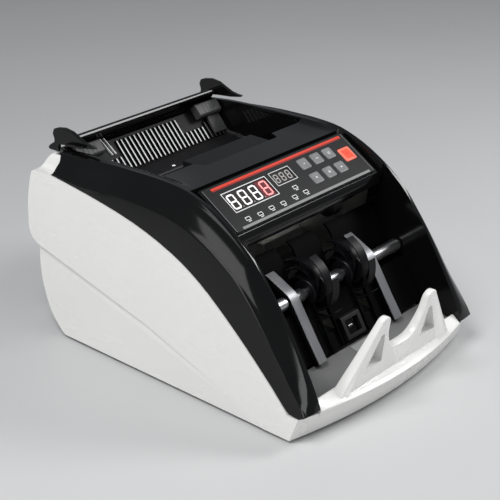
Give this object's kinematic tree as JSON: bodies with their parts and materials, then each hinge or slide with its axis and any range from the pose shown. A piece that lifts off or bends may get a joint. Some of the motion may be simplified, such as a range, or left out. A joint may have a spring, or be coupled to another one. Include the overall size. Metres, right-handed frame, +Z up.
{
  "type": "banknote counting machine",
  "caption": "Desktop banknote counter: white casing, glossy black cover with sloping key panel, rear hopper, feed rollers, finned stacking wheels and front tray with stopper.",
  "frame": {"origin": "on the table under the middle of the machine: the centre of the bounding box's underside", "axes": "+X to the right seen from the front, +Y from the tray towards the rear, +Z up"},
  "size_m": [0.24, 0.3368, 0.1934],
  "materials": {
    "white_gloss": "smooth gloss",
    "black_gloss": "high gloss",
    "dark_matte": "fine texture",
    "panel_film": "satin printed film",
    "grey_key": "satin",
    "orange_key": "satin",
    "tray_grey": "satin",
    "bright_steel": "polished",
    "plated_steel": "zinc plated",
    "rubber": "matte",
    "roller_rubber": "ground rubber",
    "black_plastic": "satin",
    "display": "smooth",
    "circuit_board": "solder mask"
  },
  "bodies": {
    "machine": {"lower_casing": "white_gloss", "top_cover": "black_gloss", "bottom_plate": "plated_steel", "foot_1": "rubber", "foot_2": "rubber", "foot_3": "rubber", "foot_4": "rubber", "stopper": "white_gloss", "tray_floor": "tray_grey", "stacker_plate": "dark_matte", "sensor_housing": "dark_matte", "guide_strip_left": "bright_steel", "guide_strip_right": "bright_steel", "panel_housing": "black_gloss", "panel_film": "panel_film", "count_display": "display", "batch_display": "display", "panel_board": "circuit_board", "hopper_plate": "dark_matte", "hopper_back": "black_gloss", "side_frame_left": "plated_steel", "side_frame_right": "plated_steel", "brake_roller": "rubber", "brake_bracket": "plated_steel", "main_motor": "plated_steel", "motor_belt": "rubber", "pickup_belt": "rubber", "outfeed_belt": "rubber", "transformer": "plated_steel", "main_board": "circuit_board", "rear_plate": "dark_matte", "power_inlet": "black_plastic", "switch_body": "black_plastic"},
    "feed": {"feed_shaft": "bright_steel", "feed_roller_left": "roller_rubber", "feed_roller_right": "roller_rubber", "feed_pulley": "plated_steel", "outfeed_drive_pulley": "plated_steel"},
    "motor_rotor": {"motor_pulley": "plated_steel"},
    "pickup": {"pickup_shaft": "bright_steel", "pickup_roller_left": "roller_rubber", "pickup_roller_right": "roller_rubber", "pickup_pulley": "plated_steel"},
    "outfeed": {"outfeed_shaft": "bright_steel", "outfeed_roller_left": "rubber", "outfeed_roller_right": "rubber", "outfeed_pulley": "plated_steel"},
    "impeller": {"impeller_shaft": "bright_steel", "stacking_wheel_left": "dark_matte", "stacking_wheel_right": "dark_matte"},
    "guide_left": {"note_guide_left": "dark_matte"},
    "guide_right": {"note_guide_right": "dark_matte"},
    "start_button": {"start_key": "orange_key"},
    "rocker": {"power_rocker": "black_plastic"},
    "button_1": {"key_1": "grey_key"},
    "button_2": {"key_2": "grey_key"},
    "button_3": {"key_3": "grey_key"},
    "button_4": {"key_4": "grey_key"},
    "button_5": {"key_5": "grey_key"},
    "button_6": {"key_6": "grey_key"}
  },
  "joints": [
    {"name": "feed_spin", "type": "hinge", "parent": "machine", "child": "feed", "pos_m": [0, 0.03237, 0.121], "axis": [1, 0, 0], "continuous": true},
    {"name": "motor_spin", "type": "hinge", "parent": "machine", "child": "motor_rotor", "pos_m": [0, 0.04637, 0.047], "axis": [1, 0, 0], "continuous": true},
    {"name": "pickup_spin", "type": "hinge", "parent": "machine", "child": "pickup", "pos_m": [0, 0.07437, 0.125], "axis": [1, 0, 0], "continuous": true},
    {"name": "outfeed_spin", "type": "hinge", "parent": "machine", "child": "outfeed", "pos_m": [0, -0.02563, 0.115], "axis": [1, 0, 0], "continuous": true},
    {"name": "impeller_spin", "type": "hinge", "parent": "machine", "child": "impeller", "pos_m": [0, -0.08263, 0.0825], "axis": [1, 0, 0], "continuous": true},
    {"name": "guide_left_slide", "type": "slide", "parent": "machine", "child": "guide_left", "axis": [1, 0, 0], "range_m": [0, 0.03]},
    {"name": "guide_right_slide", "type": "slide", "parent": "machine", "child": "guide_right", "axis": [-1, 0, 0], "range_m": [0, 0.03]},
    {"name": "rocker_tilt", "type": "hinge", "parent": "machine", "child": "rocker", "pos_m": [-0.0358, 0.13297, 0.0331], "axis": [1, 0, 0], "range_deg": [-16, 0]},
    {"name": "key_1_press", "type": "slide", "parent": "machine", "child": "button_1", "axis": [0, 0.5354, -0.8446], "range_m": [0, 0.0008], "stiffness_N_per_m": 1200},
    {"name": "key_2_press", "type": "slide", "parent": "machine", "child": "button_2", "axis": [0, 0.5354, -0.8446], "range_m": [0, 0.0008], "stiffness_N_per_m": 1200},
    {"name": "key_3_press", "type": "slide", "parent": "machine", "child": "button_3", "axis": [0, 0.5354, -0.8446], "range_m": [0, 0.0008], "stiffness_N_per_m": 1200},
    {"name": "key_4_press", "type": "slide", "parent": "machine", "child": "button_4", "axis": [0, 0.5354, -0.8446], "range_m": [0, 0.0008], "stiffness_N_per_m": 1200},
    {"name": "key_5_press", "type": "slide", "parent": "machine", "child": "button_5", "axis": [0, 0.5354, -0.8446], "range_m": [0, 0.0008], "stiffness_N_per_m": 1200},
    {"name": "key_6_press", "type": "slide", "parent": "machine", "child": "button_6", "axis": [0, 0.5354, -0.8446], "range_m": [0, 0.0008], "stiffness_N_per_m": 1200},
    {"name": "start_press", "type": "slide", "parent": "machine", "child": "start_button", "axis": [0, 0.5354, -0.8446], "range_m": [0, 0.0008], "stiffness_N_per_m": 1200}
  ],
  "couplings": [
    {"joint": "motor_spin", "follows": "feed_spin", "ratio": 1.625},
    {"joint": "pickup_spin", "follows": "feed_spin", "ratio": 1},
    {"joint": "outfeed_spin", "follows": "feed_spin", "ratio": 1.4444},
    {"joint": "impeller_spin", "follows": "feed_spin", "ratio": 0.4}
  ]
}
